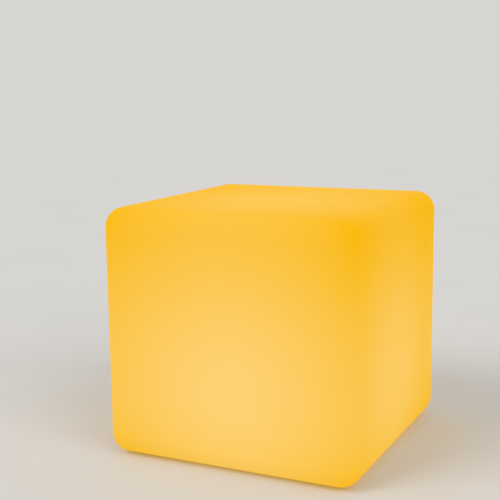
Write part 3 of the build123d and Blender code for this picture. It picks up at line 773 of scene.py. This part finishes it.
def makeLedBoard(name, look):
    finish, tree, shader = newFinish(name)
    off = offStep(tree, fromAxis(tree, placeOf(tree)), look["pitch"])
    run = calc(tree, "GREATER_THAN", off, look["gap"])
    bare = opposite(tree, upright(tree, facingOf(tree)))  # edge and back
    color = tint(tree, run, look["color"], look["run"])
    feed(tree, shader["Base Color"], tint(tree, bare, color, look["metal"]))
    feed(tree, shader["Metallic"], bare)
    grain = useGroup(tree, mouldGrain, **look["grain"])
    feed(tree, shader["Roughness"], between(tree, grain["Cloud"], look["rough"]))
    addBump(tree, shader, run, *look["bump"])
    return finish


finishes["board_white"] = makeLedBoard("ledBoard", ledBoardLook)

# frosted dome over the LEDs
domeLook = {
    "glow": {
        "Source": (0.0, 0.0, 0.0516),
        "Reach": 0.03,
        "Level": 0.7,
        "Falloff": 0.9,
        "Patch": 60.0,
        "Patchy": 0.08,
    },
    "steps": [(0.0, (0.80, 0.47, 0.14)), (0.5, (0.96, 0.66, 0.27)), (1.0, (1.0, 0.80, 0.46))],
    "color": (0.34, 0.32, 0.28),
    "drift": (0.30, 0.28, 0.24),
    "grain": {"Grain": 4500.0, "Drift": 70.0},
    "rough": (0.5, 0.62),
    "shader": {"Emission Strength": 0.55},
    "bump": (0.3, 0.0001),
}


def makeDome(name, look):
    finish = makeMoulded(name, look)
    tree = finish.node_tree
    shader = tree.nodes["Principled BSDF"].inputs
    glow = useGroup(tree, innerGlow, **look["glow"])["Glow"]
    feed(tree, shader["Emission Color"], colorSteps(tree, glow, look["steps"]))
    finish.cycles.emission_sampling = "NONE"  # closed in by the body
    return finish


finishes["frosted_plastic"] = makeDome("domeFrost", domeLook)

# LEDs: white packages with a lit yellow window
ledLook = {
    "color": (0.70, 0.69, 0.65),
    "drift": (0.64, 0.62, 0.57),
    "grain": {"Grain": 5000.0, "Drift": 300.0},
    "rough": (0.3, 0.4),
    "bump": (0.1, 0.0001),
    "phosphor": (0.40, 0.26, 0.03),
    "glow": (1.0, 0.66, 0.24),
    "uneven": 1600.0,
    "unevenSpan": (0.2, 0.8),
    "bright": (0.8, 1.0),
    "windowDepth": 0.0003,
    "windowReach": 0.0001,
    "shader": {"Emission Strength": 0.9},
}


def makeLeds(name, look):
    finish, tree, shader = newFinish(name, look["shader"])
    color, rough = mouldSurface(tree, shader, look)
    place = placeOf(tree)
    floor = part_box("leds")[1].z - look["windowDepth"]
    window = product(tree, atLevel(tree, place, floor, look["windowReach"]), upright(tree, facingOf(tree)))
    bright = span(tree, noise(tree, place, look["uneven"]), *look["unevenSpan"], *look["bright"])
    feed(tree, shader["Base Color"], tint(tree, window, color, look["phosphor"]))
    feed(tree, shader["Roughness"], rough)
    lit = tint(tree, product(tree, window, bright), (0.0, 0.0, 0.0), look["glow"])
    feed(tree, shader["Emission Color"], lit)
    finish.cycles.emission_sampling = "NONE"
    return finish


finishes["led_lens"] = makeLeds("ledPackage", ledLook)

# charge LED: clear green lens below a white base
chargeLook = {
    "color": (0.74, 0.73, 0.68),
    "drift": (0.68, 0.67, 0.61),
    "grain": {"Grain": 5000.0, "Drift": 500.0},
    "rough": (0.2, 0.3),
    "bump": (0.1, 0.0001),
    "lens": (0.16, 0.52, 0.20),
    "base": 0.0004,
}


def makeChargeLed(name, look):
    finish, tree, shader = newFinish(name)
    color, rough = mouldSurface(tree, shader, look)
    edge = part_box("charge_led")[1].z - look["base"]
    lens = calc(tree, "LESS_THAN", axes(tree, placeOf(tree))["Z"], edge)
    feed(tree, shader["Base Color"], tint(tree, lens, color, look["lens"]))
    feed(tree, shader["Roughness"], rough)
    return finish


finishes["charge_led"] = makeChargeLed("chargeLed", chargeLook)

for entry in frame["record"]["subparts"]:
    slot = frame["nodes"][entry["node"]].material_slots[0]
    slot.material = finishes.get(entry["node"]) or finishes[entry["material_slot"]]
print("finishes: %d" % len(finishes))


def addPiece(name, data, finish):
    piece = bpy.data.objects.new(name, data)
    data.materials.append(finish)
    bpy.context.scene.collection.objects.link(piece)
    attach(piece, "lamp")
    return piece


# enamelled copper wire on the inductor's drum, wound up and down again
windingLook = {
    "wire": 0.00035,
    "turns": 4,
    "layers": 2,
    "stepsPerTurn": 16,
    "core": 0.0026,
    "metal": {
        "color": (0.58, 0.21, 0.075),
        "stain": (0.44, 0.13, 0.04),
        "bright": (0.72, 0.36, 0.18),
        "marks": {"Along": (1.0, 1.0, 1.0), "Lines": 1800.0},
        "wear": {"Width": 0.0001, "Patch": 3000.0},
        "rough": (0.18, 0.3),
        "bump": (0.1, 0.00002),
    },
}


def makeWinding(look):
    low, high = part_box("power_inductor")
    middle = (low + high) / 2
    steps = look["turns"] * look["stepsPerTurn"]
    rise = look["turns"] * look["wire"]
    route = []
    for layer in range(look["layers"]):
        radius = look["core"] + look["wire"] * (layer + 0.5)
        for step in range(steps + 1):
            angle = 2 * math.pi * step / look["stepsPerTurn"]
            climb = step / steps - 0.5
            up = rise * (climb if layer % 2 == 0 else -climb)
            route.append(middle + Vector((radius * math.cos(angle), radius * math.sin(angle), up)))
    curve = bpy.data.curves.new("inductor_winding", "CURVE")
    curve.dimensions = "3D"
    curve.bevel_depth = look["wire"] / 2
    curve.bevel_resolution = 2
    curve.use_fill_caps = True
    spline = curve.splines.new("NURBS")
    spline.points.add(len(route) - 1)
    for point, place in zip(spline.points, route):
        point.co = (*place, 1.0)
    spline.order_u = 3
    spline.use_endpoint_u = True
    spline.resolution_u = 3
    addPiece("inductor_winding", curve, makeMetal("windingCopper", look["metal"]))


# foam strips between the cells and the tray, rounded at their cut edges
padLook = {"width": 0.008, "square": 7.0, "rings": 40, "sides": 32, "fill": 0.9}


def padPoint(half, square, along, around):  # a block whose edges are as round as square says
    def share(angle, wave):
        value = wave(angle)
        return math.copysign(abs(value) ** (2 / square), value)

    thick = share(along, math.sin)
    return (
        -half.x * share(along, math.cos),
        half.y * thick * share(around, math.cos),
        half.z * thick * share(around, math.sin),
    )


def makePads(look):
    low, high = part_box("cell_pads")
    half = Vector(((high.x - low.x) / 2, look["width"] / 2, (high.z - low.z) / 2))
    mesh = bpy.data.meshes.new("foam_pads")
    shape = bmesh.new()
    for side in (-1, 1):
        center = Vector((0.0, side * (high.y - half.y), (low.z + high.z) / 2))
        tips = [shape.verts.new(center + Vector((end * half.x, 0.0, 0.0))) for end in (-1, 1)]
        rings = []
        for ring in range(1, look["rings"]):
            along = math.pi * ring / look["rings"]
            turns = [2 * math.pi * k / look["sides"] for k in range(look["sides"])]
            places = [padPoint(half, look["square"], along, around) for around in turns]
            rings.append([shape.verts.new(center + Vector(place)) for place in places])
        for k in range(look["sides"]):
            after = (k + 1) % look["sides"]
            shape.faces.new((tips[0], rings[0][after], rings[0][k]))
            shape.faces.new((tips[1], rings[-1][k], rings[-1][after]))
            for ring, following in zip(rings, rings[1:]):
                shape.faces.new((ring[k], ring[after], following[after], following[k]))
    bmesh.ops.recalc_face_normals(shape, faces=shape.faces)
    shape.to_mesh(mesh)
    shape.free()
    mesh.shade_smooth()
    pads = addPiece("foam_pads", mesh, finishes["foam"])
    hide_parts("cell_pads")


makeWinding(windingLook)
makePads(padLook)
print("added pieces: inductor winding, foam pads")

# floor, light and camera
floorLook = {
    "size": 60.0,
    "cells": 8,
    "drop": 0.0002,
    "color": (0.575, 0.565, 0.545),
    "drift": (0.565, 0.555, 0.535),
    "patch": 6.0,
    "shader": {"Roughness": 0.9, "Specular IOR Level": 0.1},
}


def makeFloor(look):
    mesh = bpy.data.meshes.new("floor")
    shape = bmesh.new()
    bmesh.ops.create_grid(shape, x_segments=look["cells"], y_segments=look["cells"], size=look["size"] / 2)
    shape.to_mesh(mesh)
    shape.free()
    floor = bpy.data.objects.new("floor", mesh)
    floor.location.z = -look["drop"]
    bpy.context.scene.collection.objects.link(floor)
    finish, tree, shader = newFinish("floor", look["shader"])
    cloud = span(tree, noise(tree, placeOf(tree), look["patch"], detail=4.0), *noiseSpans["patch"])
    feed(tree, shader["Base Color"], tint(tree, cloud, look["color"], look["drift"]))
    mesh.materials.append(finish)


lightLook = {
    "sky": 0.72,
    "lamps": [
        {"name": "keyLight", "toLamp": (-1.6, -2.2, 2.3), "spread": 35.0, "power": 1.35},
        {"name": "fillLight", "toLamp": (2.2, -1.0, 1.5), "spread": 50.0, "power": 1.15},
    ],
}


def makeLight(look, floor):
    onFloor = look["sky"]  # all the light that the open floor gets
    for lamp in look["lamps"]:
        toLamp = Vector(lamp["toLamp"]).normalized()
        light = bpy.data.lights.new(lamp["name"], "SUN")
        light.angle = math.radians(lamp["spread"])
        light.energy = lamp["power"]
        holder = bpy.data.objects.new(lamp["name"], light)
        holder.rotation_euler = toLamp.to_track_quat("Z", "Y").to_euler()
        bpy.context.scene.collection.objects.link(holder)
        onFloor += lamp["power"] / math.pi * toLamp.z
    world = bpy.data.worlds.new("studio")
    bpy.context.scene.world = world
    world.use_nodes = True
    tree = world.node_tree
    tree.nodes.clear()
    path = put(tree, "LightPath").outputs
    seen = calc(tree, "MAXIMUM", path["Is Camera Ray"], path["Is Glossy Ray"])
    seen = calc(tree, "MAXIMUM", seen, path["Is Transmission Ray"])
    # the backdrop is as bright as the open floor, so no horizon shows
    backdrop = [onFloor * (a + b) / 2 for a, b in zip(floor["color"], floor["drift"])]
    sky = put(tree, "Background", {"Color": tint(tree, seen, (look["sky"],) * 3, backdrop)})
    put(tree, "OutputWorld", {"Surface": sky.outputs["Background"]})


cameraLook = {
    "place": (0.3158, -0.6976, 0.2792),
    "lens": 71.44,
    "sensor": 36.0,
    "yaw": -26.01,
    "down": 9.68,
    "roll": 0.74,
}


def makeCamera(look):
    yaw, down, roll = (math.radians(look[key]) for key in ("yaw", "down", "roll"))
    ahead = Vector((math.sin(yaw) * math.cos(down), math.cos(yaw) * math.cos(down), -math.sin(down)))
    right = Vector((math.cos(yaw), -math.sin(yaw), 0.0))
    lower = ahead.cross(right)
    rolledRight = right * math.cos(roll) + lower * math.sin(roll)
    rolledUp = right * math.sin(roll) - lower * math.cos(roll)
    data = bpy.data.cameras.new("photoCamera")
    data.lens = look["lens"]
    data.sensor_width = look["sensor"]
    camera = bpy.data.objects.new("photoCamera", data)
    turn = Matrix((rolledRight, rolledUp, -ahead)).transposed()
    camera.matrix_world = Matrix.Translation(look["place"]) @ turn.to_4x4()
    bpy.context.scene.collection.objects.link(camera)
    bpy.context.scene.camera = camera


makeFloor(floorLook)
makeLight(lightLook, floorLook)
makeCamera(cameraLook)
bpy.context.scene.view_settings.view_transform = "Standard"
print("stage: floor, %d lamps, camera" % len(lightLook["lamps"]))
